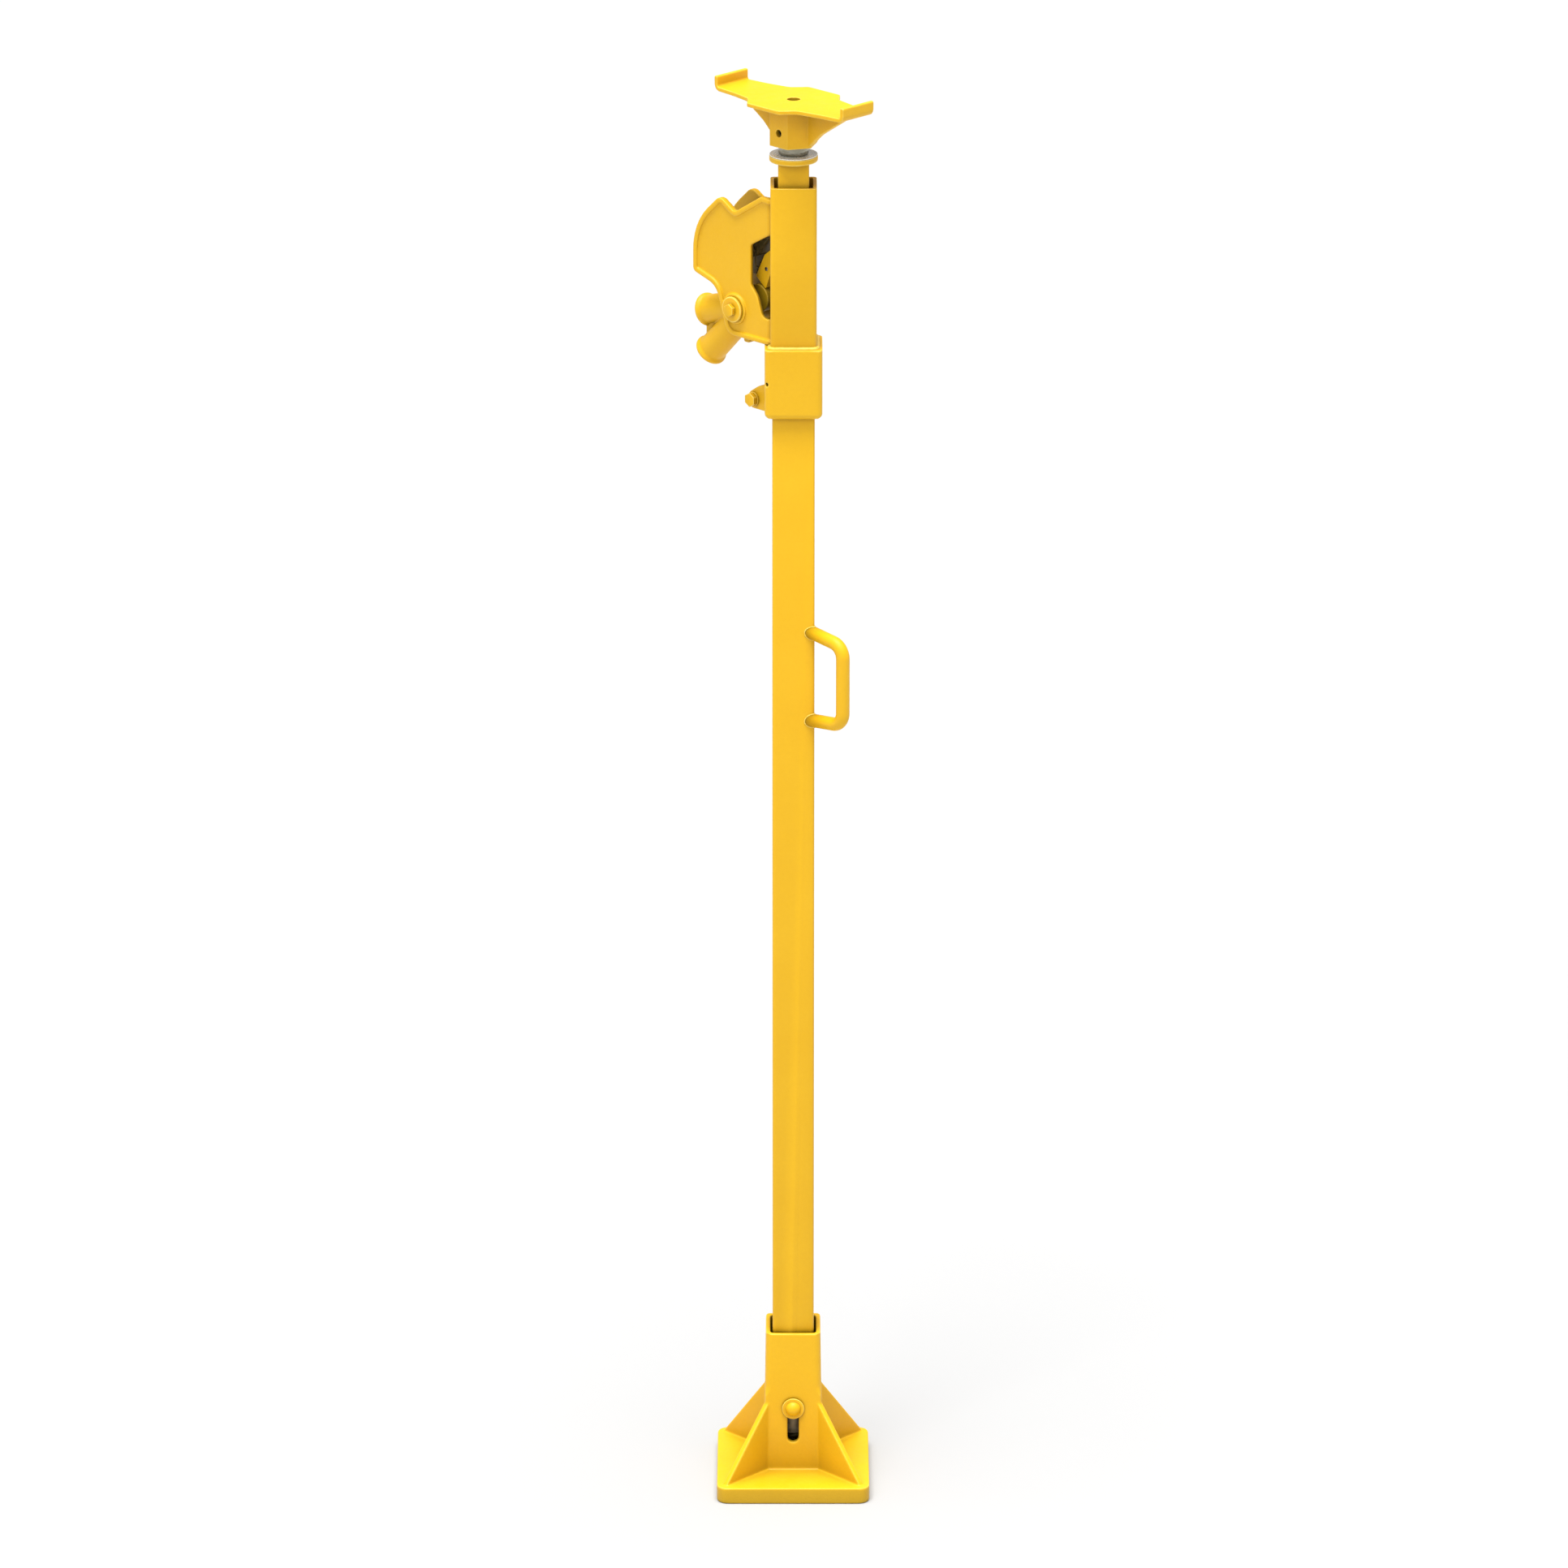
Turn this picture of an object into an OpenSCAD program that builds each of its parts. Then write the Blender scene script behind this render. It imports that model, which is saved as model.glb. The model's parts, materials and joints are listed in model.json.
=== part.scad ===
// Lever-operated roof support jack.
// A cast foot holds a sprung square leg. A clamp collar on the leg carries the lifting head:
// a square housing with two cheeks, a two-socket lever and two friction dogs that grip the
// corner of a square ram. A swivelling saddle stands on the ram.
// The origin is the centre of the foot's underside and +Z is up. The tube faces lie along X
// and Y. The lever works in the upright plane through one corner of the tubes, in which
// u is the distance from the jack's axis and w is the distance across that plane.

/* [Foot] */
// Side of the square base
base_w = 236; // [210:1:260]
// Thickness of the base
base_t = 26; // [20:1:30]
// Height of the socket's rim above the floor
socket_top = 253; // [235:0.5:270]
// Side of the socket at its rim
socket_rim_w = 84.3; // [83:0.1:86]
// Side of the socket at the base
socket_foot_w = 91; // [87:0.1:92]
// Thickness of the corner gussets
gusset_t = 9.5; // [6:0.5:10]
// Height at which the gussets meet the socket
gusset_top = 136; // [120:1:150]
// Height of the cross pin above the floor
foot_pin_z = 129.5; // [126:0.5:132]
// How far the leg can sink into the foot
foot_travel = 49; // [36:1:49]

/* [Leg] */
// Side of the square leg tube
leg_w = 63.5; // [62:0.1:65]
// Wall of the leg tube
leg_wall = 4; // [3:0.1:4]
// Height of the leg's upper end above the floor
leg_top = 1839; // [1600:1:2000]
// Diameter of the carrying handle's rod
handle_d = 20.5; // [16:0.5:22]
// Height of the middle of the carrying handle
handle_z = 1323.5; // [900:1:1500]
// Height of the handle where it meets the leg
handle_h = 142; // [125:1:160]
// Distance from the jack's axis to the handle's grip
handle_reach = 105; // [95:1:120]

/* [Lifting head] */
// Side of the clamp collar
collar_w = 86; // [84:0.5:88]
// Height of the clamp collar
collar_h = 108; // [100:1:120]
// Side of the square housing
housing_w = 68.8; // [68:0.1:70]
// Wall of the housing
housing_wall = 5.6; // [5:0.1:5.6]
// Height of the housing above the collar
housing_h = 246.5; // [240:0.5:260]
// Distance from the lever plane to the inner face of a cheek
cheek_in = 28.5; // [28.5:0.5:31]
// Thickness of a cheek
cheek_t = 6.5; // [5:0.5:7]
// Diameter of the lever's pin
lever_pin_d = 25; // [22:1:26]
// Diameter of the bores that take the lever bar
bar_bore_d = 32.5; // [30:0.5:33]

/* [Ram and saddle] */
// Side of the square ram
ram_w = 46; // [45:0.1:46]
// Wall of the ram
ram_wall = 5; // [4:0.1:5]
// How far the ram rises
ram_lift = 600; // [300:10:700]
// Height of the ram's flange above the housing with the ram down
ram_show = 34.5; // [30:0.5:60]
// Width of the hexagonal hub across its flats
hub_af = 63.5; // [60:0.5:66]
// Half of the saddle plate's length
saddle_half = 134; // [126:1:145]
// Thickness of the saddle plate
saddle_t = 6.35; // [5:0.05:8]

/* [Hidden] */
fine = 64;
root2 = sqrt(2);

paint = "#f8c030";
steel = "#8d8d88";
dark_steel = "#4a4740";
bronze = "#b08d57";

// Foot
base_r = 17;
bore_w = leg_w + 6.5;
pin_d = 16;
pin_head_r = 12;
pin_washer_d = 34;
pin_washer_t = 3;
pin_washer_y = socket_foot_w / 2;
slot_w = pin_d + 1;
plug_t = 8;
leg_bottom = foot_pin_z - 17.5;
cup_d = 44;
cup_wall = 2.5;
cup_floor_t = 4;
cup_bottom = base_t + foot_travel + 2;
spring_wire = 6.5;
spring_r = 15.5;

// Leg and handle
leg_r = 5;
handle_bend = 22;
handle_start = 36;
handle_drop = 8;

// Collar
collar_bottom = leg_top - collar_h;
collar_r = 8.5;
lug_in = 2.5;
lug_out = 13;
bolt_at = [70.3, collar_bottom + 8.5];
bolt_d = 12;
bolt_af = 19;
bolt_head = 7.5;
bolt_washer_d = 22;
bolt_washer_t = 3;

// Housing, cheeks and lever; heights in the lever plane are measured from the leg's top
housing_top = leg_top + housing_h;
housing_r = 6;
cheek_out = cheek_in + cheek_t;
rim_w = 8;
rim_t = 3.5;
boss_t = 4;
lever_at = [87.5, 42];
nose_at = [62.3, 59];
nose_r = 21.5;
nose_half = 13;
hub_r = 27;
hub_half = 24;
socket_d = 44;
bead_d = 50;
bead_l = 7;
upper_socket = [-16.5, 102, 57];
lower_socket = [-45.8, 129, 62];
cap_d = 39;
cap_t = 5;
screw_d = 10;
screw_af = 17;
screw_head = 6.4;

// Dogs
dog_half = 12;
dog_gap = 1;
jaw_t = 6;
jaw_r = 10;
dowel_d = 6;
dog_pin_d = 12;
dog_hub_r = 12;
dog_hub_half = 14;
holding_at = [73, 133];
tail_in = 14.6;
tail_out = 22;
dog_wire = 2.5;
dog_coil_r = 8.3;

// Ram, spindle and saddle
ram_r = 4;
ram_top = housing_top + ram_show;
guide_gap = 0.3;
ram_bottom = leg_top + 2 - ram_lift - 40;
flange_r = 36;
flange_t = 9;
washer_t = 1.4;
shoulder_z = ram_top + flange_t + washer_t + 0.1;
bush_d = 35.9;
journal_d = 30;
journal_l = 68.5;
groove_d = 27;
spindle_d = 45;
hub_bottom = ram_top + 25;
plate_bottom = hub_bottom + 62.5;
plate_top = plate_bottom + saddle_t;
lip_h = 22.5;
spindle_top = plate_bottom - 12;
cross_pin_z = hub_bottom + 22;
cross_pin_d = 11;
centre_hole_d = 19.5;
running = 0.05;

// Key points are [along, up, corner radius], anticlockwise.
cheek_keys = [
  [-5, 0, 0], [102.5, 0, 22], [126, 70, 28], [175, 84, 9], [174.3, 159.2, 95],
  [118, 211, 13], [87, 192, 9], [31, 226.5, 10], [-5, 223.5, 0]
];
window_keys = [
  [-5, 39, 0], [31, 39, 11], [41.5, 69.5, 30], [55.7, 85, 8], [55.7, 147, 5], [-5, 181.5, 0]
];
lug_keys = [
  [34, -7, 0], [83, -7, 12], [83, 16, 12], [62, 30, 14], [34, 39, 0]
];
lifting_keys = [
  [46.6, 76.2, 2], [66.9, 92.5, 2], [48.8, 128.6, 4], [34, 140, 5], [16, 147, 0],
  [16, 118, 0], [34, 108, 6]
];
holding_keys = [
  [66, 124, 0], [82, 140, 0], [50, 177, 6], [34, 187, 4], [16, 185, 0], [16, 159, 0],
  [40, 157, 6]
];
tail_keys = [
  [64, 127, 0], [81, 109, 30], [94, 84, 3], [104.5, 85, 3], [96, 114, 40], [78, 143, 6]
];
// Quarter outline of the saddle plate, from its end to its lobe
saddle_keys = [[134, 32, 0], [90, 36.5, 140], [51, 44, 20], [32.5, 65, 8]];

function unit(v) = v / norm(v);
function xy(key) = [key[0], key[1]];
function wrap(a) = a > 180 ? a - 360 : a < -180 ? a + 360 : a;

// Points of one corner, rounded by an arc of radius r
function corner(before, at, after, r) =
  let (
    a = unit(before - at),
    b = unit(after - at),
    half = acos(a * b) / 2,
    centre = at + unit(a + b) * r / sin(half),
    first = at + a * r / tan(half) - centre,
    last = at + b * r / tan(half) - centre,
    start = atan2(first[1], first[0]),
    turn = wrap(atan2(last[1], last[0]) - start),
    steps = max(2, ceil(abs(turn) / 9))
  )
  [for (i = [0:steps]) centre + r * [cos(start + turn * i / steps), sin(start + turn * i / steps)]];

function rounded(keys) =
  let (n = len(keys))
  [
    for (i = [0:n - 1])
      let (before = xy(keys[(i + n - 1) % n]), at = xy(keys[i]), after = xy(keys[(i + 1) % n]))
        each keys[i][2] == 0 ? [at] : corner(before, at, after, keys[i][2])
  ];

// The same key points moved inwards by d
function inset(keys, d) =
  let (n = len(keys))
  [
    for (i = [0:n - 1])
      let (
        p = xy(keys[i]),
        a = unit(p - xy(keys[(i + n - 1) % n])),
        b = unit(xy(keys[(i + 1) % n]) - p),
        na = [-a[1], a[0]],
        nb = [-b[1], b[0]],
        q = p + (na + nb) * d / (1 + na * nb),
        convex = a[0] * b[1] - a[1] * b[0] > 0,
        r = keys[i][2] == 0 ? 0 : keys[i][2] + (convex ? -d : d)
      )
      [q[0], q[1], r]
  ];

function mirrored(keys, sx, sy) = [for (k = keys) [sx * k[0], sy * k[1], k[2]]];
function reversed(list) = [for (i = [len(list) - 1:-1:0]) list[i]];

// Square with rounded corners, centred on the axis
module rounded_square(side, r) {
  square([side, side - 2 * r], center = true);
  square([side - 2 * r, side], center = true);
  for (x = [-1, 1], y = [-1, 1])
    translate([x, y] * (side / 2 - r))
      circle(r = r, $fn = fine);
}

module square_bar(side, r, z0, z1) {
  translate([0, 0, z0])
    linear_extrude(z1 - z0)
      rounded_square(side, r);
}

module square_tube(side, r, wall, inner_r, z0, z1) {
  translate([0, 0, z0])
    linear_extrude(z1 - z0)
      difference() {
        rounded_square(side, r);
        rounded_square(side - 2 * wall, inner_r);
      }
}

module disc(d, z0, z1) {
  translate([0, 0, z0])
    cylinder(d = d, h = z1 - z0, $fn = fine);
}

// Extrudes a profile drawn in the lever plane between w0 and w1
module across(w0, w1) {
  rotate([0, 0, 135])
    rotate([90, 0, 0])
      translate([0, 0, -w1])
        linear_extrude(w1 - w0)
          children();
}

// Round bar or bore across the lever plane
module cross_bar(at, d, w0, w1) {
  across(w0, w1)
    translate(at)
      circle(d = d, $fn = fine);
}

module cross_hex(at, af, w0, w1) {
  across(w0, w1)
    translate(at)
      rotate(30)
        circle(d = af / cos(30), $fn = 6);
}

// Places a profile whose heights are measured from the leg's top
module from_leg_top() {
  translate([0, leg_top])
    children();
}

// Round wire swept along a path that never runs along the given axis
module wire(path, r, sides = 8, axis = [0, 0, 1]) {
  n = len(path);
  points = [
    for (i = [0:n - 1])
      let (
        d = unit(path[min(i + 1, n - 1)] - path[max(i - 1, 0)]),
        side = unit(cross(d, axis)),
        up = cross(side, d)
      )
      for (k = [0:sides - 1])
        path[i] + r * (cos(k * 360 / sides) * side + sin(k * 360 / sides) * up)
  ];
  walls = [
    for (i = [0:n - 2], k = [0:sides - 1])
      let (a = i * sides + k, b = i * sides + (k + 1) % sides)
        [a, a + sides, b + sides, b]
  ];
  ends = [
    [for (k = [0:sides - 1]) k],
    [for (k = [sides - 1:-1:0]) (n - 1) * sides + k]
  ];
  polyhedron(points, concat(walls, ends), convexity = 6);
}

function coil(r, z0, z1, turns, steps, start = 0) = [
  for (i = [0:turns * steps])
    let (angle = start + i * 360 / steps)
      [r * cos(angle), r * sin(angle), z0 + (z1 - z0) * i / (turns * steps)]
];

// Tapered square post: its side runs from low_w at z0 to high_w at z1
module tapered_post(low_w, high_w, z0, z1) {
  sides = [[-low_w / 2, z0], [low_w / 2, z0], [high_w / 2, z1], [-high_w / 2, z1]];
  intersection() {
    rotate([90, 0, 0])
      linear_extrude(low_w + 2, center = true)
        polygon(sides);
    rotate([0, 0, 90])
      rotate([90, 0, 0])
        linear_extrude(low_w + 2, center = true)
          polygon(sides);
    square_bar(low_w, 9, z0, z1);
  }
}

module foot_slot() {
  rotate([90, 0, 0])
    linear_extrude(base_w, center = true) {
      for (z = [foot_pin_z + 0.5, foot_pin_z - foot_travel - 0.5])
        translate([0, z])
          circle(d = slot_w, $fn = fine);
      translate([-slot_w / 2, foot_pin_z - foot_travel - 0.5])
        square([slot_w, foot_travel + 1]);
    }
}

module gusset(angle) {
  inner = socket_foot_w / 2 * root2 - 12;
  reach = base_w / 2 * root2 - 18;
  socket_edge = socket_foot_w / 2 * root2 - 4;
  rotate([0, 0, angle])
    rotate([90, 0, 0])
      linear_extrude(gusset_t, center = true)
        polygon([
          [inner, base_t - 2], [reach, base_t - 2], [reach, base_t + 2],
          [socket_edge, gusset_top], [inner, gusset_top]
        ]);
}

module base_foot() {
  color(paint)
    difference() {
      union() {
        square_bar(base_w, base_r, 0, base_t);
        tapered_post(socket_foot_w, socket_rim_w, base_t - 1, socket_top);
        for (angle = [45:90:315])
          gusset(angle);
      }
      square_bar(bore_w, 6, base_t, socket_top + 1);
      foot_slot();
    }
}

module foot_spring() {
  color(steel)
    wire(
      coil(spring_r, base_t + spring_wire / 2, leg_bottom - cup_floor_t - spring_wire / 2, 5, 18),
      spring_wire / 2
    );
}

module leg_tube() {
  color(paint)
    difference() {
      square_tube(leg_w, leg_r, leg_wall, 2, leg_bottom, leg_top);
      translate([0, 0, foot_pin_z])
        rotate([90, 0, 0])
          cylinder(d = pin_d + 2 * running, h = leg_w + 2, center = true, $fn = fine);
    }
}

module leg_end_plug() {
  color(steel)
    square_bar(leg_w - 2 * leg_wall - 0.2, 1.5, leg_bottom, leg_bottom + plug_t);
}

module spring_cup() {
  color(dark_steel)
    difference() {
      disc(cup_d, cup_bottom, leg_bottom);
      disc(cup_d - 2 * cup_wall, cup_bottom - 1, leg_bottom - cup_floor_t);
    }
}

module foot_pin() {
  head_y = pin_washer_y + pin_washer_t;
  head_h = 9;
  dome_r = (pin_head_r * pin_head_r + head_h * head_h) / (2 * head_h);
  color(paint)
    translate([0, 0, foot_pin_z])
      rotate([90, 0, 0]) {
        cylinder(d = pin_d, h = 2 * head_y, center = true, $fn = fine);
        for (side = [0, 1])
          mirror([0, 0, side])
            translate([0, 0, head_y])
              intersection() {
                cylinder(r = pin_head_r, h = head_h, $fn = fine);
                translate([0, 0, head_h - dome_r])
                  sphere(r = dome_r, $fn = fine);
              }
      }
}

module foot_pin_washers() {
  color(paint)
    translate([0, 0, foot_pin_z])
      rotate([90, 0, 0])
        for (side = [0, 1])
          mirror([0, 0, side])
            translate([0, 0, pin_washer_y])
              difference() {
                cylinder(d = pin_washer_d, h = pin_washer_t, $fn = fine);
                translate([0, 0, -1])
                  cylinder(d = pin_d + 2 * running, h = pin_washer_t + 2, $fn = fine);
              }
}

module carry_handle() {
  top = handle_z + handle_h / 2;
  bottom = handle_z - handle_h / 2;
  route = rounded([
    [handle_start, bottom, 0], [handle_reach, bottom + handle_drop, handle_bend],
    [handle_reach, top - handle_drop, handle_bend], [handle_start, top, 0]
  ]);
  color(paint)
    difference() {
      rotate([0, 0, -45])
        wire([for (p = route) [p[0], 0, p[1]]], handle_d / 2, 20, [0, 1, 0]);
      square_bar(leg_w, leg_r, bottom - handle_d, top + handle_d);
    }
}

module clamp_collar() {
  color(paint)
    difference() {
      union() {
        square_bar(collar_w, collar_r, collar_bottom, leg_top);
        across(-lug_out, lug_out)
          translate([0, collar_bottom])
            polygon(rounded(lug_keys));
      }
      square_bar(leg_w + 0.2, leg_r, collar_bottom - 10, leg_top + 1);
      across(-lug_in, lug_in)
        translate([leg_w / 2, collar_bottom - 10])
          square([collar_w, collar_h - 5]);
      cross_bar(bolt_at, bolt_d + 0.1, -lug_out - 1, lug_out + 1);
      // Witness hole in the corner beside the lugs
      translate([0, 0, collar_bottom + 55])
        rotate([0, 0, 225])
          rotate([0, 90, 0])
            cylinder(d = 6, h = collar_w, $fn = fine);
    }
}

module collar_bolt() {
  head = lug_out + bolt_washer_t;
  color(paint) {
    cross_bar(bolt_at, bolt_d, -head - 14, head);
    cross_hex(bolt_at, bolt_af, head, head + bolt_head);
  }
}

module collar_nut() {
  head = lug_out + bolt_washer_t;
  color(paint)
    difference() {
      cross_hex(bolt_at, bolt_af, -head - 11, -head);
      cross_bar(bolt_at, bolt_d + 0.1, -head - 12, -head + 1);
    }
}

module collar_washers() {
  color(paint)
    for (side = [-1, 1])
      let (w = side * (lug_out + bolt_washer_t / 2))
        difference() {
          cross_bar(bolt_at, bolt_washer_d, w - bolt_washer_t / 2, w + bolt_washer_t / 2);
          cross_bar(bolt_at, bolt_d + 0.1, w - bolt_washer_t, w + bolt_washer_t);
        }
}

module housing_tube() {
  color(paint)
    difference() {
      square_tube(housing_w, housing_r, housing_wall, 3, leg_top, housing_top);
      // Opening at the corner that the dogs work through
      across(-18, 18)
        translate([24, leg_top + 13])
          square([40, 193]);
    }
}

// One cheek, on the side where w is positive
module cheek() {
  difference() {
    union() {
      across(cheek_in, cheek_out)
        from_leg_top()
          polygon(rounded(cheek_keys));
      across(cheek_out - 0.5, cheek_out + rim_t)
        from_leg_top()
          difference() {
            polygon(rounded(cheek_keys));
            polygon(rounded(inset(cheek_keys, rim_w)));
          }
      cross_bar(lever_at + [0, leg_top], 47, cheek_out - 0.5, cheek_out + boss_t);
    }
    across(cheek_in - 1, cheek_out + 10)
      from_leg_top()
        polygon(rounded(window_keys));
    square_bar(housing_w, housing_r, leg_top - 1, housing_top + 1);
    cross_bar(lever_at + [0, leg_top], lever_pin_d + 2 * running, cheek_in - 1, cheek_out + 10);
    cross_bar(holding_at + [0, leg_top], dog_pin_d + 2 * running, cheek_in - 1, cheek_in + 4);
  }
}

module near_cheek() {
  color(paint)
    cheek();
}

module far_cheek() {
  color(paint)
    mirror([1, 1, 0])
      cheek();
}

module ram_guide(z0, z1) {
  color(bronze)
    translate([0, 0, z0])
      linear_extrude(z1 - z0)
        difference() {
          rounded_square(housing_w - 2 * housing_wall - 0.2, 3);
          rounded_square(ram_w + 2 * guide_gap, ram_r);
        }
}

module lower_ram_guide() {
  ram_guide(leg_top + 1, leg_top + 14);
}

module upper_ram_guide() {
  ram_guide(housing_top - 34, housing_top - 14);
}

module lever_pin() {
  half = cheek_out + boss_t;
  color(steel)
    difference() {
      cross_bar(lever_at + [0, leg_top], lever_pin_d, -half, half);
      for (side = [0, 1])
        mirror([side, side, 0])
          cross_bar(lever_at + [0, leg_top], screw_d, half - 18, half + 1);
    }
}

module lever_pin_caps() {
  inner = cheek_out + boss_t;
  color(paint)
    for (side = [0, 1])
      mirror([side, side, 0])
        difference() {
          cross_bar(lever_at + [0, leg_top], cap_d, inner, inner + cap_t);
          cross_bar(lever_at + [0, leg_top], screw_d + 0.1, inner - 1, inner + cap_t + 1);
        }
}

module lever_pin_screws() {
  inner = cheek_out + boss_t;
  color(paint)
    for (side = [0, 1])
      mirror([side, side, 0]) {
        cross_bar(lever_at + [0, leg_top], screw_d - 0.1, inner - 16, inner + cap_t);
        cross_hex(lever_at + [0, leg_top], screw_af, inner + cap_t, inner + cap_t + screw_head);
      }
}

module lever_spacers() {
  color(steel)
    for (side = [0, 1])
      mirror([side, side, 0])
        difference() {
          cross_bar(lever_at + [0, leg_top], 38, hub_half + 0.3, cheek_in);
          cross_bar(lever_at + [0, leg_top], lever_pin_d + 2 * running, hub_half, cheek_in + 1);
        }
}

// Places a child at the lever's pivot, with +Z along a socket
module along_socket(angle) {
  rotate([0, 0, 135])
    translate([lever_at[0], 0, leg_top + lever_at[1]])
      rotate([0, 90 - angle, 0])
        children();
}

module socket_body(socket) {
  length = socket[1];
  along_socket(socket[0]) {
    cylinder(d = socket_d, h = length, $fn = fine);
    translate([0, 0, length - bead_l])
      rotate_extrude($fn = fine)
        polygon([
          [0, -3], [socket_d / 2, -3], [bead_d / 2, 1.5], [bead_d / 2, bead_l - 2],
          [bead_d / 2 - 2, bead_l], [0, bead_l]
        ]);
  }
}

module socket_bore(socket) {
  length = socket[1];
  depth = socket[2];
  along_socket(socket[0])
    translate([0, 0, length - depth])
      cylinder(d = bar_bore_d, h = depth + 1, $fn = fine);
}

module lever() {
  color(paint)
    difference() {
      union() {
        cross_bar(lever_at + [0, leg_top], 2 * hub_r, -hub_half, hub_half);
        cross_bar(nose_at + [0, leg_top], 2 * nose_r, -nose_half, nose_half);
        socket_body(upper_socket);
        socket_body(lower_socket);
        // Web between the sockets
        across(-7, 7)
          from_leg_top()
            polygon([[98, 30], [178, -2], [178, -32], [112, 14]]);
        // Heel that stops the lever
        across(-8, 8)
          from_leg_top()
            polygon(rounded([[84, 18, 0], [85, -17, 3], [96, -17, 3], [106, 18, 0]]));
      }
      socket_bore(upper_socket);
      socket_bore(lower_socket);
      cross_bar(lever_at + [0, leg_top], lever_pin_d + 2 * running, -hub_half - 1, hub_half + 1);
    }
}

// The space that the ram and its clearance take in a dog
module ram_space(extra, r) {
  square_bar(ram_w + 2 * (dog_gap + extra), r, leg_top, housing_top);
}

module dog_outline(keys) {
  across(-dog_half, dog_half)
    from_leg_top()
      polygon(rounded(keys));
}

module dog_jaw(keys) {
  difference() {
    intersection() {
      dog_outline(keys);
      ram_space(jaw_t, jaw_r);
    }
    ram_space(0, ram_r);
  }
}

module lifting_dog() {
  color(paint)
    difference() {
      dog_outline(lifting_keys);
      ram_space(jaw_t, jaw_r);
      cross_bar([45, leg_top + 107.3], dowel_d, -dog_half - 1, dog_half + 1);
    }
}

module lifting_dog_jaw() {
  color(dark_steel)
    dog_jaw(lifting_keys);
}

module lifting_dog_dowel() {
  color(steel)
    cross_bar([45, leg_top + 107.3], dowel_d, -dog_half - 0.8, dog_half + 0.8);
}

// Places a child at the holding dog's pin, with +Z across the lever plane towards +w
module at_holding_pin() {
  rotate([0, 0, 135])
    translate([holding_at[0], 0, leg_top + holding_at[1]])
      rotate([90, 0, 0])
        mirror([0, 0, 1])
          children();
}

module lifting_dog_spring() {
  color(steel)
    at_holding_pin()
      wire(
        concat(
          [[-9, -29, 7], [-8.9, -27, 11], [-8.7, -24, 15], [-8.5, -12, 16]],
          coil(dog_coil_r, 16, 26.5, 3.5, 16, 180)
        ),
        dog_wire / 2
      );
}

module holding_dog() {
  color(dark_steel)
    difference() {
      union() {
        dog_outline(holding_keys);
        cross_bar(holding_at + [0, leg_top], 2 * dog_hub_r, -tail_out, dog_hub_half);
        across(-tail_out, -tail_in)
          from_leg_top()
            polygon(rounded(tail_keys));
      }
      ram_space(jaw_t, jaw_r);
      cross_bar(holding_at + [0, leg_top], dog_pin_d + 2 * running, -30, 30);
      cross_bar([47, leg_top + 167], dowel_d, -dog_half - 1, dog_half + 1);
    }
}

module holding_dog_jaw() {
  color(steel)
    dog_jaw(holding_keys);
}

module holding_dog_dowel() {
  color(steel)
    cross_bar([47, leg_top + 167], dowel_d, -dog_half - 0.8, dog_half + 0.8);
}

module holding_dog_pin() {
  color(steel)
    cross_bar(holding_at + [0, leg_top], dog_pin_d, -cheek_in - 3.5, cheek_in + 3.5);
}

module holding_dog_spring() {
  color(steel)
    at_holding_pin()
      wire(
        concat(
          [[17, -12, -23.7], [13, -2, -23.7]],
          coil(dog_coil_r, -23.7, -26.7, 1, 16, 20),
          [[6, 14, -26.9], [4, 24, -26.9]]
        ),
        dog_wire / 2
      );
}

module ram_tube() {
  color(paint)
    square_tube(ram_w, ram_r, ram_wall, 1, ram_bottom, ram_top);
}

module ram_stop_ring() {
  top = leg_top + 1 - ram_lift - 0.5;
  color(steel)
    translate([0, 0, top - 10])
      linear_extrude(10)
        difference() {
          rounded_square(leg_w - 2 * leg_wall - 1, 2);
          rounded_square(ram_w + 0.1, ram_r);
        }
}

module ram_flange() {
  color(paint)
    difference() {
      disc(2 * flange_r, ram_top, ram_top + flange_t);
      disc(bush_d + 0.1, ram_top - 1, ram_top + flange_t + 1);
    }
}

module thrust_washer() {
  color(steel)
    difference() {
      disc(2 * flange_r - 1, ram_top + flange_t, ram_top + flange_t + washer_t);
      disc(journal_d + 1, ram_top, ram_top + flange_t + washer_t + 1);
    }
}

module spindle_bush() {
  color(bronze)
    difference() {
      disc(bush_d, ram_top - 51, ram_top + flange_t);
      disc(journal_d + 2 * running, ram_top - 52, ram_top + flange_t + 1);
    }
}

module spindle() {
  bottom = shoulder_z - journal_l;
  color(steel)
    difference() {
      rotate_extrude($fn = fine)
        polygon([
          [0, bottom], [journal_d / 2 - 1, bottom], [journal_d / 2, bottom + 1],
          [journal_d / 2, bottom + 4], [groove_d / 2, bottom + 4],
          [groove_d / 2, bottom + 6.5], [journal_d / 2, bottom + 6.5],
          [journal_d / 2, shoulder_z], [spindle_d / 2 - 1.5, shoulder_z],
          [spindle_d / 2, shoulder_z + 2], [spindle_d / 2, spindle_top], [0, spindle_top]
        ]);
      cross_bar([0, cross_pin_z], cross_pin_d, -spindle_d, spindle_d);
    }
}

module spindle_circlip() {
  z = shoulder_z - journal_l + 4.2;
  color(dark_steel)
    difference() {
      disc(34.5, z, z + 2.1);
      disc(groove_d + 0.1, z - 1, z + 3);
      translate([0, -4, z - 1])
        cube([40, 8, 5]);
    }
}

// Plan of the saddle plate, its long axis in the lever plane
module saddle_plan() {
  quarter = [for (k = saddle_keys) [k[0] * saddle_half / saddle_keys[0][0], k[1], k[2]]];
  keys = concat(
    quarter, reversed(mirrored(quarter, -1, 1)),
    mirrored(quarter, -1, -1), reversed(mirrored(quarter, 1, -1))
  );
  rotate(135)
    polygon(rounded(keys));
}

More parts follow.
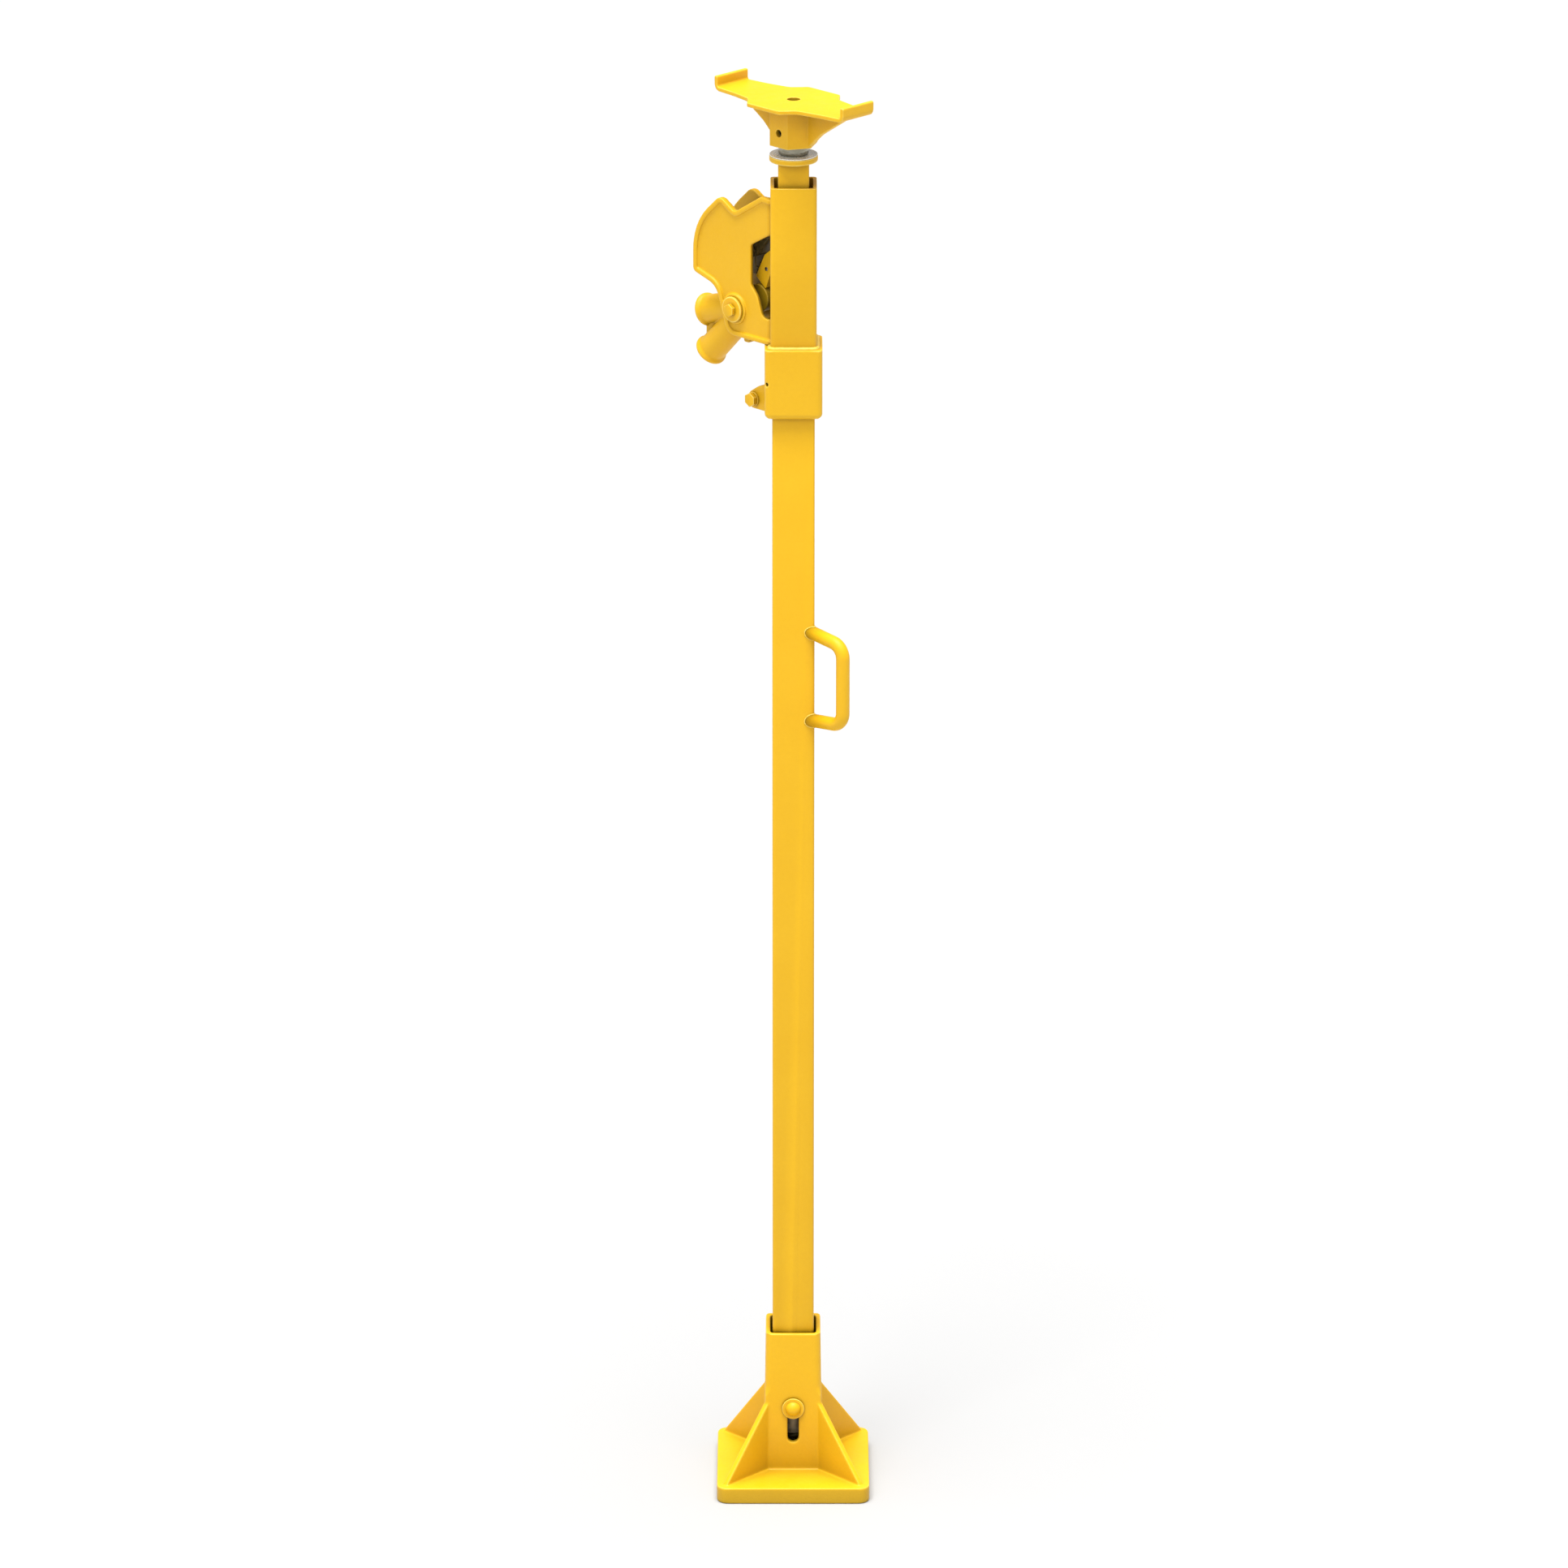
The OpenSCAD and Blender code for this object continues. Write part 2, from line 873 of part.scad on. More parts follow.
// Section of one end lip, bent up from the plate
module lip_section() {
  translate([saddle_half, plate_bottom])
    polygon(rounded([
      [-16, 0, 0], [0, 0, saddle_t + 4], [0, lip_h, 2], [-saddle_t, lip_h, 2],
      [-saddle_t, saddle_t, 3], [-16, saddle_t, 0]
    ]));
}

module web_section() {
  translate([0, plate_bottom])
    polygon([
      [20, 1], [20, -58], [38, -58], [51, -45], [60, -37], [85, -21], [104, -9], [114, 1]
    ]);
}

module head_saddle() {
  color(paint)
    difference() {
      union() {
        intersection() {
          translate([0, 0, plate_bottom])
            linear_extrude(lip_h)
              saddle_plan();
          union() {
            across(-80, 80)
              translate([14 - saddle_half, plate_bottom])
                square([2 * saddle_half - 28, saddle_t]);
            for (end = [0, 1])
              across(-80, 80)
                mirror([end, 0])
                  lip_section();
          }
        }
        translate([0, 0, hub_bottom])
          rotate([0, 0, 135])
            cylinder(d = hub_af / cos(30), h = plate_bottom - hub_bottom + 1, $fn = 6);
        for (end = [0, 1])
          across(-4.5, 4.5)
            mirror([end, 0])
              web_section();
      }
      disc(spindle_d, hub_bottom - 1, spindle_top);
      disc(centre_hole_d, spindle_top - 1, plate_top + 1);
      cross_bar([0, cross_pin_z], cross_pin_d, -hub_af, hub_af);
    }
}

module head_roll_pin() {
  half = hub_af / 2 - 6.5;
  color(dark_steel)
    difference() {
      cross_bar([0, cross_pin_z], cross_pin_d, -half, half);
      cross_bar([0, cross_pin_z], cross_pin_d - 4.4, -half - 1, half + 1);
      across(-half - 1, half + 1)
        translate([-1, cross_pin_z])
          square([2, cross_pin_d]);
    }
}

base_foot();
foot_spring();
leg_tube();
leg_end_plug();
spring_cup();
foot_pin();
foot_pin_washers();
carry_handle();
clamp_collar();
collar_bolt();
collar_nut();
collar_washers();
housing_tube();
near_cheek();
far_cheek();
lower_ram_guide();
upper_ram_guide();
lever_pin();
lever_pin_caps();
lever_pin_screws();
lever_spacers();
lever();
lifting_dog();
lifting_dog_jaw();
lifting_dog_dowel();
lifting_dog_spring();
holding_dog();
holding_dog_jaw();
holding_dog_dowel();
holding_dog_pin();
holding_dog_spring();
ram_tube();
ram_stop_ring();
ram_flange();
thrust_washer();
spindle_bush();
spindle();
spindle_circlip();
head_saddle();
head_roll_pin();
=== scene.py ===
import json
import math
import random

import bmesh
import bpy
from mathutils import Matrix, Vector


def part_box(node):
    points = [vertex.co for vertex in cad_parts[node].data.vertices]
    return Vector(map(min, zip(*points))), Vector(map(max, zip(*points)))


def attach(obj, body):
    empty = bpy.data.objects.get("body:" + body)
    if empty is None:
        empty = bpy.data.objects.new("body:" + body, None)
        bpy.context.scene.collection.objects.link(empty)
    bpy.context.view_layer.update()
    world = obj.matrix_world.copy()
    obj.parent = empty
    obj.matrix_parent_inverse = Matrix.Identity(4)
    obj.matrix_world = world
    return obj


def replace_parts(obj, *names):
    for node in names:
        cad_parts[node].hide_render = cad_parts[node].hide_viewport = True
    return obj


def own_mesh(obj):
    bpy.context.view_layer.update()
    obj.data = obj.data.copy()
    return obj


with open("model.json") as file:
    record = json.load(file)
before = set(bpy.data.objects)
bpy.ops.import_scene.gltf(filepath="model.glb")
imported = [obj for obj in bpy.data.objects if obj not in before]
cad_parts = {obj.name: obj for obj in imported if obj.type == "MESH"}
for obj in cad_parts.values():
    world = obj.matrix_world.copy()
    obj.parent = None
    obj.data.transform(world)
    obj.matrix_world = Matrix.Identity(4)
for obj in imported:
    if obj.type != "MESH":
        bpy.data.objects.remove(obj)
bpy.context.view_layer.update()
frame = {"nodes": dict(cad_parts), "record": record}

MM = 0.001
NODES = frame["nodes"]
RECORD = frame["record"]
BODY = {node: body for body, nodes in RECORD["behaviour"]["bodies"].items() for node in nodes}
SLOT = {row["node"]: row["material_slot"] for row in RECORD["subparts"]}

# The lever works in the upright plane through the jack's axis and its -X +Y corner: OUT points
# along that plane, away from the axis, and ACROSS points out of it, towards the near cheek.
OUT = Vector((-1, 1, 0)).normalized()
ACROSS = Vector((-1, -1, 0)).normalized()
UP = Vector((0, 0, 1))


# ---------------------------------------------------------------- camera, light and floor

def make_camera():
    """A long lens, looking 19.7 degrees down along +Y at the middle of the jack."""
    data = bpy.data.cameras.new("camera")
    data.sensor_width = 36.0
    data.lens = 195.7
    data.clip_start, data.clip_end = 0.5, 60.0
    camera = bpy.data.objects.new("camera", data)
    bpy.context.collection.objects.link(camera)
    down, distance = math.radians(19.7), 12.92
    target = Vector((-0.01415, 0, 1.1415))
    camera.location = target + distance * Vector((0, -math.cos(down), math.sin(down)))
    camera.rotation_euler = (math.pi / 2 - down, 0, 0)
    bpy.context.scene.camera = camera


def sun(name, direction, strength, spread):
    """A soft light that shines along a direction; spread is how wide it is, in degrees."""
    data = bpy.data.lights.new(name, "SUN")
    data.energy = strength
    data.angle = math.radians(spread)
    light = bpy.data.objects.new(name, data)
    bpy.context.collection.objects.link(light)
    light.rotation_euler = Vector(direction).to_track_quat("-Z", "Y").to_euler()


def make_stage():
    """Even white light all round, a strong sun from above, a weak one from the front, a floor."""
    world = bpy.data.worlds.new("studio")
    bpy.context.scene.world = world
    world.use_nodes = True
    background = world.node_tree.nodes["Background"]
    background.inputs["Color"].default_value = (1, 1, 1, 1)
    background.inputs["Strength"].default_value = 0.45
    sun("top", (0.03, 0.14, -1.0), 5.0, 40)
    sun("key", (0.45, 0.75, -0.75), 0.55, 25)

    mesh = bpy.data.meshes.new("floor")
    half, grey = 60.0, 0.48
    corners = [(-half, -half, 0), (half, -half, 0), (half, half, 0), (-half, half, 0)]
    mesh.from_pydata(corners, [], [(0, 1, 2, 3)])
    floor = bpy.data.objects.new("floor", mesh)
    bpy.context.collection.objects.link(floor)
    material = bpy.data.materials.new("floor")
    material.use_nodes = True
    shader = material.node_tree.nodes["Principled BSDF"]
    shader.inputs["Base Color"].default_value = (grey, grey, grey, 1)
    shader.inputs["Roughness"].default_value = 0.9
    shader.inputs["Specular IOR Level"].default_value = 0.1
    mesh.materials.append(material)
    bpy.context.scene.view_settings.view_transform = "Standard"


# ---------------------------------------------------------------- materials

class Shader:
    """A Principled material whose nodes are added one by one."""

    def __init__(self, name, metallic):
        self.material = bpy.data.materials.new(name)
        self.material.use_nodes = True
        self.tree = self.material.node_tree
        self.main = self.tree.nodes["Principled BSDF"]
        self.main.inputs["Metallic"].default_value = metallic
        self.place = self.tree.nodes.new("ShaderNodeTexCoord").outputs["Object"]

    def node(self, kind, links=(), **values):
        """A new node: links joins its inputs to sockets, values sets inputs and properties."""
        node = self.tree.nodes.new(kind)
        for key, value in values.items():
            if key in node.inputs:
                node.inputs[key].default_value = value
            else:
                setattr(node, key, value)
        for key, source in dict(links).items():
            self.tree.links.new(source, node.inputs[key])
        return node

    def stretched(self, scale):
        """The place on the object, stretched along each axis."""
        return self.node("ShaderNodeMapping", {"Vector": self.place}, Scale=scale).outputs["Vector"]

    def noise(self, scale, detail=2.0, roughness=0.5, place=None):
        """Noise from 0 to 1, with scale features to the metre."""
        found = self.node(
            "ShaderNodeTexNoise", {"Vector": place or self.place},
            Scale=scale, Detail=detail, Roughness=roughness,
        )
        return found.outputs["Fac"]

    def ramp(self, source, low, high, at_low=0.0, at_high=1.0):
        """A ramp from at_low, where source is low, to at_high, where it is high, and flat past both."""
        found = self.node("ShaderNodeMapRange", {"Value": source})
        for key, value in (("From Min", low), ("From Max", high), ("To Min", at_low), ("To Max", at_high)):
            found.inputs[key].default_value = value
        return found.outputs["Result"]

    def mix(self, factor, first, second):
        """Mix of two colours, each a tuple or a socket."""
        found = self.node("ShaderNodeMix", data_type="RGBA")
        self.tree.links.new(factor, found.inputs[0])
        for socket, colour in ((found.inputs[6], first), (found.inputs[7], second)):
            if isinstance(colour, tuple):
                socket.default_value = (*colour, 1)
            else:
                self.tree.links.new(colour, socket)
        return found.outputs[2]

    def times(self, first, second):
        """The product of two sockets."""
        found = self.node("ShaderNodeMath", operation="MULTIPLY")
        self.tree.links.new(first, found.inputs[0])
        self.tree.links.new(second, found.inputs[1])
        return found.outputs[0]

    def bump(self, height, distance, below=None):
        """A normal bumped by height times distance in metres, on top of another normal."""
        found = self.node("ShaderNodeBump", {"Height": height}, Distance=distance)
        found.inputs["Strength"].default_value = 1.0
        if below:
            self.tree.links.new(below, found.inputs["Normal"])
        return found.outputs["Normal"]

    def finish(self, colour, roughness, normal):
        self.tree.links.new(colour, self.main.inputs["Base Color"])
        self.tree.links.new(roughness, self.main.inputs["Roughness"])
        self.tree.links.new(normal, self.main.inputs["Normal"])
        return self.material


YELLOW, YELLOW_PATCH, YELLOW_SPECK = (0.86, 0.480, 0.006), (0.89, 0.510, 0.009), (0.81, 0.435, 0.005)
# The next three: a painted highlight for edges, painted shade for hollows, and painted shade for the inner
# faces between the cheeks
HIGHLIGHT_COLOUR, SHADE_COLOUR, INNER_SHADE_COLOUR = (1.0, 0.76, 0.18), (0.26, 0.18, 0.008), (0.12, 0.085, 0.008)
# The middle of the painted shade on the cheeks' inner faces, by the dogs between the cheeks
INNER_SHADE_MIDDLE = OUT * 0.035 + UP * 1.944


def inner_shade_amount(s, inner):
    """How much painted shade a place gets: only nearer the lever's plane than inner, and most by the dogs.
    """
    across = s.node("ShaderNodeVectorMath", {"Vector": s.place}, operation="DOT_PRODUCT")
    across.inputs[1].default_value = ACROSS
    depth = s.node("ShaderNodeMath", operation="ABSOLUTE")
    s.tree.links.new(across.outputs["Value"], depth.inputs[0])
    away = s.node("ShaderNodeVectorMath", {"Vector": s.place}, operation="DISTANCE")
    away.inputs[1].default_value = INNER_SHADE_MIDDLE
    within = s.ramp(depth.outputs[0], inner + 6 * MM, inner + 1 * MM)
    return s.times(within, s.ramp(away.outputs["Value"], 0.125, 0.085, 0.25, 0.92))


def paint(name, skin, highlight_where, reach=0.05, inner_shade_reach=None):
    """Yellow enamel. skin is how rough the metal under it is, in metres.

    The third argument says where a painted highlight, a lighter yellow in patches, goes:
    "faces" puts none on; "edges" puts it all over, for bevels; "both" puts it on a
    casting's sharpest edges. Painted shade darkens the paint where other surfaces are
    near: reach is how far away they count. The last argument is how far from the lever's
    plane the painted shade on the inner faces reaches, if there is any.
    """
    s = Shader(name, 0.0)
    patches = s.noise(9.0, 3.0)
    fine = s.noise(160.0, 4.0, 0.6)
    colour = s.mix(s.ramp(patches, 0.35, 0.65), YELLOW, YELLOW_PATCH)
    colour = s.mix(s.ramp(fine, 0.3, 0.7, 0.0, 0.3), colour, YELLOW_SPECK)
    # Painted highlight: lighter yellow, in patches, on the edges (only the pointed ones on a casting)
    if highlight_where != "faces":
        highlight = s.ramp(s.noise(90.0, 3.0), 0.30, 0.60, 0.35, 0.85)
        if highlight_where == "both":
            edge = s.ramp(s.node("ShaderNodeNewGeometry").outputs["Pointiness"], 0.51, 0.57)
            highlight = s.times(edge, highlight)
        colour = s.mix(highlight, colour, HIGHLIGHT_COLOUR)
    # Painted shade: darker brown where the ambient occlusion finds other surfaces near
    shelter = s.node("ShaderNodeAmbientOcclusion", samples=6, Distance=reach).outputs["AO"]
    colour = s.mix(s.ramp(shelter, 0.86, 0.25, 0.0, 0.85), colour, SHADE_COLOUR)
    # Painted shade on the inner faces between the cheeks, most by the dogs
    if inner_shade_reach:
        colour = s.mix(inner_shade_amount(s, inner_shade_reach), colour, INNER_SHADE_COLOUR)
    roughness = s.ramp(s.noise(60.0, 4.0), 0.3, 0.7, 0.36, 0.52)
    peel = s.bump(s.noise(700.0, 1.0), 0.00006)
    normal = s.bump(s.noise(240.0, 3.0, 0.6), skin, peel)
    s.main.inputs["Specular IOR Level"].default_value = 0.32
    return s.finish(colour, roughness, normal)


def metal(name, dark, light, smooth, rough, grain, metallic=1.0, depth=0.00004):
    """Bare metal with tool marks: grain stretches them, and depth is how deep they are."""
    s = Shader(name, metallic)
    marks = s.noise(60.0, 4.0, 0.65, s.stretched(grain))
    stains = s.noise(35.0, 4.0, 0.6)
    colour = s.mix(s.ramp(marks, 0.3, 0.7), dark, light)
    colour = s.mix(s.ramp(stains, 0.45, 0.75, 0.0, 0.5), colour, dark)
    roughness = s.ramp(marks, 0.3, 0.7, smooth, rough)
    normal = s.bump(marks, depth, s.bump(s.noise(500.0, 2.0), 0.00002))
    return s.finish(colour, roughness, normal)


MATERIALS = {
    "yellow_paint": paint("enamel_on_tube", 0.00008, "faces"),
    "bare_steel": metal("turned_steel", (0.20, 0.185, 0.13), (0.42, 0.40, 0.33), 0.16, 0.30, (1, 1, 5)),
    "dark_steel": metal(
        "oiled_steel", (0.050, 0.036, 0.008), (0.17, 0.125, 0.035), 0.38, 0.60, (2, 2, 3), 0.25, 0.0001
    ),
    "bearing_bronze": metal("bronze", (0.33, 0.2, 0.08), (0.62, 0.43, 0.2), 0.3, 0.5, (1, 1, 10)),
}
# The bevels' paint: lighter all over, a painted edge highlight
EDGE_HIGHLIGHT_PAINT = paint("enamel_with_painted_highlight", 0.00008, "edges")
CAST_PAINT = paint("enamel_on_casting", 0.00022, "both")
FOOT_PAINT = paint("enamel_on_foot", 0.00022, "both", reach=0.10)
# The cheeks' paint has painted shade on its inner faces by the dogs
CHEEK_PAINT = paint("enamel_on_cheek", 0.00022, "both", reach=0.03, inner_shade_reach=28.5 * MM)
DOG_PAINT = paint("enamel_on_dog", 0.00015, "faces", reach=0.012)
BRIGHT_STEEL = metal(
    "polished_washer", (0.84, 0.83, 0.80), (0.95, 0.95, 0.94), 0.22, 0.36, (6, 6, 1), 0.35
)
CUP_STEEL = metal(
    "drawn_cup", (0.26, 0.20, 0.12), (0.40, 0.32, 0.20), 0.35, 0.55, (1, 1, 3), 0.35, 0.00006
)


# ---------------------------------------------------------------- mesh tools

def cad_mesh(node):
    """A bmesh of a CAD node, with its faces joined up."""
    mesh = bmesh.new()
    mesh.from_mesh(NODES[node].data)
    bmesh.ops.remove_doubles(mesh, verts=mesh.verts, dist=2e-6)
    return mesh


def piece(name, mesh, body, slot, material=None):
    """A shown object made of a bmesh, riding on a body."""
    data = bpy.data.meshes.new(name)
    mesh.to_mesh(data)
    mesh.free()
    data.materials.append(material or MATERIALS[slot])
    data.shade_smooth()
    made = bpy.data.objects.new(name, data)
    bpy.context.collection.objects.link(made)
    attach(made, body)
    return made


def apply_modifiers(made):
    """Works the object's modifiers into its mesh."""
    graph = bpy.context.evaluated_depsgraph_get()
    data = bpy.data.meshes.new_from_object(made.evaluated_get(graph))
    made.modifiers.clear()
    old = made.data
    made.data = data
    bpy.data.meshes.remove(old)


def machined(node, width, segments=3, material=None):
    """Stands for a CAD node: the same shape with its edges broken."""
    mesh = cad_mesh(node)
    bmesh.ops.dissolve_limit(
        mesh, angle_limit=math.radians(0.4), verts=mesh.verts[:], edges=mesh.edges[:]
    )
    made = piece(node + "_finished", mesh, BODY[node], SLOT[node], material)
    bevel = made.modifiers.new("edges", "BEVEL")
    bevel.width = width
    bevel.segments = segments
    bevel.limit_method = "ANGLE"
    bevel.angle_limit = math.radians(32)
    bevel.harden_normals = True
    bevel.miter_outer = "MITER_ARC"
    # Painted parts take the painted edge highlight on their bevels
    if material is None and SLOT[node] == "yellow_paint":
        made.data.materials.append(EDGE_HIGHLIGHT_PAINT)
        bevel.material = 1
    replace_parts(made, node)


def cast(node, voxel, rounds, keep, material=CAST_PAINT, shape=None):
    """Stands for a CAD node as a casting: every edge and inner corner rounded.

    voxel is the mesh's fineness, rounds is how often it is smoothed, and keep is the
    share of faces kept. shape moves the points of the fine mesh.
    """
    made = piece(node + "_casting", cad_mesh(node), BODY[node], SLOT[node], material)
    remesh = made.modifiers.new("remesh", "REMESH")
    remesh.mode = "VOXEL"
    remesh.voxel_size = voxel
    smooth = made.modifiers.new("smooth", "SMOOTH")
    smooth.factor = 0.5
    smooth.iterations = rounds
    apply_modifiers(made)
    if shape:
        for vertex in made.data.vertices:
            vertex.co = shape(vertex.co)
    decimate = made.modifiers.new("decimate", "DECIMATE")
    decimate.ratio = keep
    apply_modifiers(made)
    made.data.shade_smooth()
    normals = made.modifiers.new("normals", "WEIGHTED_NORMAL")
    normals.weight = 80
    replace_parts(made, node)


def tube(mesh, path, radius, sides=16, closed=False, reference=UP):
    """Adds a round rod along a path of points to a bmesh.

    radius is a number, or a list with one for each point. reference is any direction
    that the path doesn't start along.
    """
    count = len(path)
    rings = []
    side = None
    for i, point in enumerate(path):
        if closed:
            ahead, behind = path[(i + 1) % count], path[i - 1]
        else:
            ahead, behind = path[min(i + 1, count - 1)], path[max(i - 1, 0)]
        along = (ahead - behind).normalized()
        if side is None:
            side = along.cross(reference).normalized()
        side = (side - along * side.dot(along)).normalized()
        up = along.cross(side)
        thick = radius[i] if isinstance(radius, list) else radius
        ring = []
        for k in range(sides):
            turn = 2 * math.pi * k / sides
            ring.append(mesh.verts.new(point + thick * (math.cos(turn) * side + math.sin(turn) * up)))
        rings.append(ring)
    pairs = list(zip(rings, rings[1:]))
    if closed:
        pairs.append((rings[-1], rings[0]))
    for first, second in pairs:
        for k in range(sides):
            after = (k + 1) % sides
            mesh.faces.new((first[k], first[after], second[after], second[k]))
    if not closed:
        mesh.faces.new(rings[0][::-1])
        mesh.faces.new(rings[-1])
    bmesh.ops.recalc_face_normals(mesh, faces=mesh.faces[:])


def filleted(points, radius):
    """A path through some points, with each inner corner turned as an arc."""
    path = [points[0]]
    step = 8  # degrees between the points of an arc
    for before, at, after in zip(points, points[1:], points[2:]):
        a, b = (before - at).normalized(), (after - at).normalized()
        half = a.angle(b) / 2
        start, end = at + a * radius / math.tan(half), at + b * radius / math.tan(half)
        centre = at + (a + b).normalized() * radius / math.sin(half)
        turn = (start - centre).angle(end - centre)
        axis = (start - centre).cross(end - centre)
        count = max(3, math.ceil(math.degrees(turn) / step))
        for i in range(count + 1):
            path.append(centre + Matrix.Rotation(turn * i / count, 3, axis) @ (start - centre))
    path.append(points[-1])
    return path


def helix(radius, low, high, turns, start, steps):
    """The points of a coil, as tuples: start is its first angle, steps is points to a turn."""
    path = []
    for i in range(round(turns * steps) + 1):
        turn = math.radians(start) + 2 * math.pi * i / steps
        rise = low + (high - low) * i / (turns * steps)
        path.append((radius * math.cos(turn), radius * math.sin(turn), rise))
    return path


def smoothstep(value, low, high):
    """Rises smoothly from 0 to 1 as value goes from low to high."""
    t = min(1.0, max(0.0, (value - low) / (high - low)))
    return t * t * (3 - 2 * t)


# ---------------------------------------------------------------- foot

# The heights of the two ends of the foot's square socket, and half its width at each
SOCKET_FOOT, SOCKET_RIM = 26 * MM, 253 * MM
SOCKET_FOOT_HALF, SOCKET_RIM_HALF = 45.5 * MM, 42.15 * MM
# The heights where its corners start to be rounded, just above the gussets, and are fully round
CORNER_STARTS, CORNER_FULL = 139 * MM, 166 * MM
CORNER_RADIUS = 10.5 * MM


def round_socket(p):
    """Rounds the plan corners of the foot's socket, above the gussets."""
    rise = smoothstep(p.z, CORNER_STARTS, CORNER_FULL)
    if rise == 0:
        return p
    up = (p.z - SOCKET_FOOT) / (SOCKET_RIM - SOCKET_FOOT)
    half = SOCKET_FOOT_HALF - (SOCKET_FOOT_HALF - SOCKET_RIM_HALF) * up
    radius = CORNER_RADIUS * rise
    over = Vector((abs(p.x) - half + radius, abs(p.y) - half + radius))
    if min(over) <= 0 or over.length <= radius:
        return p
    over *= radius / over.length
    x, y = half - radius + over.x, half - radius + over.y
    return Vector((math.copysign(x, p.x), math.copysign(y, p.y), p.z))


def make_foot_spring():
    """A coil between the foot and the leg, as a fixed mesh on the foot: it does not shorten as the leg
    sinks.
    """
    low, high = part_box("foot_spring")
    wire = 6.5 * MM
    path = helix((high.x - low.x - wire) / 2, low.z + wire / 2, high.z - wire / 2, 5, 0, 24)
    mesh = bmesh.new()
    tube(mesh, [Vector(p) for p in path], wire / 2, 16, reference=Vector((1, 0, 0)))
    spring = piece("foot_spring_wire", mesh, "foot", "dark_steel")
    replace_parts(spring, "foot_spring")
    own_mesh(spring)


def make_foot():
    cast("base_foot", 1.0 * MM, 36, 0.12, FOOT_PAINT, round_socket)
    make_foot_spring()
    machined("foot_pin", 0.8 * MM)
    machined("foot_pin_washers", 0.8 * MM)
    machined("spring_cup", 0.8 * MM, material=CUP_STEEL)
    machined("leg_end_plug", 0.6 * MM)


# ---------------------------------------------------------------- leg and handle

def weld_path(start, along, radius, half):
    """Where a rod that leaves the leg's +X -Y corner meets the leg's faces."""
    side = along.cross(UP).normalized()
    up = side.cross(along)
    path = []
    steps = 48
    for i in range(steps):
        turn = 2 * math.pi * i / steps
        p = start + radius * (math.cos(turn) * side + math.sin(turn) * up)
        reach = min((half - p.x) / along.x, (-half - p.y) / along.y)
        path.append(p + along * reach)
    return path


def make_handle():
    """A bent rod that stands out over the leg's +X -Y corner, with a bead of weld at each end."""
    low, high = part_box("carry_handle")
    rod = 10.25 * MM
    drop, bend = 8 * MM, 22 * MM  # how far its arms slope, and the radius that they bend at
    out = Vector((1, -1, 0)).normalized()
    inner, reach = 36 * MM, (high.x - rod) * math.sqrt(2)
    middle, half = (low.z + high.z) / 2, (high.z - low.z) / 2 - rod
    corners = []
    for distance, height in ((inner, -half), (reach, drop - half), (reach, half - drop), (inner, half)):
        corners.append(out * distance + UP * (middle + height))
    mesh = bmesh.new()
    tube(mesh, filleted(corners, bend), rod, 32, reference=out.cross(UP))
    handle = piece("carry_handle_rod", mesh, "post", "yellow_paint")
    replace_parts(handle, "carry_handle")

    beads = bmesh.new()
    rng = random.Random(4)
    leg_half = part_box("leg_tube")[1].x
    for first, second in ((corners[0], corners[1]), (corners[3], corners[2])):
        along = (second - first).normalized()
        path = weld_path(first, along, rod + 0.2 * MM, leg_half)
        ripple = [rng.uniform(1.0, 1.4) * MM for _ in path]
        tube(beads, path, ripple, 10, closed=True)
    piece("carry_handle_welds", beads, "post", "yellow_paint", CAST_PAINT)


def make_leg():
    machined("leg_tube", 0.8 * MM)
    make_handle()


# ---------------------------------------------------------------- collar, housing and cheeks

def rounded_below(half, bottom, radius):
    """Moves the points near a square block's lower edge inwards, as a rounded edge."""
    skin = 10 * MM  # only points this near the outside move
    lug = 14 * MM  # and none this near the corner that the lugs stand on

    def shape(p):
        rise = max(0.0, p.z - bottom)
        outside = max(abs(p.x), abs(p.y))
        near_lug = p.dot(OUT) > half * math.sqrt(2) - lug
        if rise >= radius or outside < half - skin or near_lug:
            return p
        drawn = radius - math.sqrt(max(0.0, radius * radius - (radius - rise) ** 2))
        keep = 1 - drawn * (outside - half + skin) / skin / outside
        return Vector((p.x * keep, p.y * keep, p.z))

    return shape


def into_housing(face, sink):
    """Draws a cheek's inner edge into the housing's side, so that the two meet."""
    drawn_in, left_alone = 0.5 * MM, 5 * MM  # distances from the housing's face

    def shape(p):
        near = p.dot(ACROSS) > 0
        away = -p.x - face if near else p.y - face
        moved = sink * (1 - smoothstep(away, drawn_in, left_alone))
        return p + Vector((moved, 0, 0) if near else (0, -moved, 0))

    return shape


def clear_of(pin, gap):
    """Keeps a casting's bore clear of a pin that lies across the lever's plane."""
    low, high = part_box(pin)
    middle, least = (low + high) / 2, (high.z - low.z) / 2 + gap

    def shape(p):
        away = p - middle
        away -= ACROSS * away.dot(ACROSS)
        if away.length >= least:
            return p
        return p + away * (least / away.length - 1)

    return shape


def even_path(points, step):
    """The same path with points about a step apart."""
    path = []
    for first, second in zip(points, points[1:]):
        count = max(1, round((second - first).length / step))
        for i in range(count):
            path.append(first.lerp(second, i / count))
    path.append(points[-1])
    return path


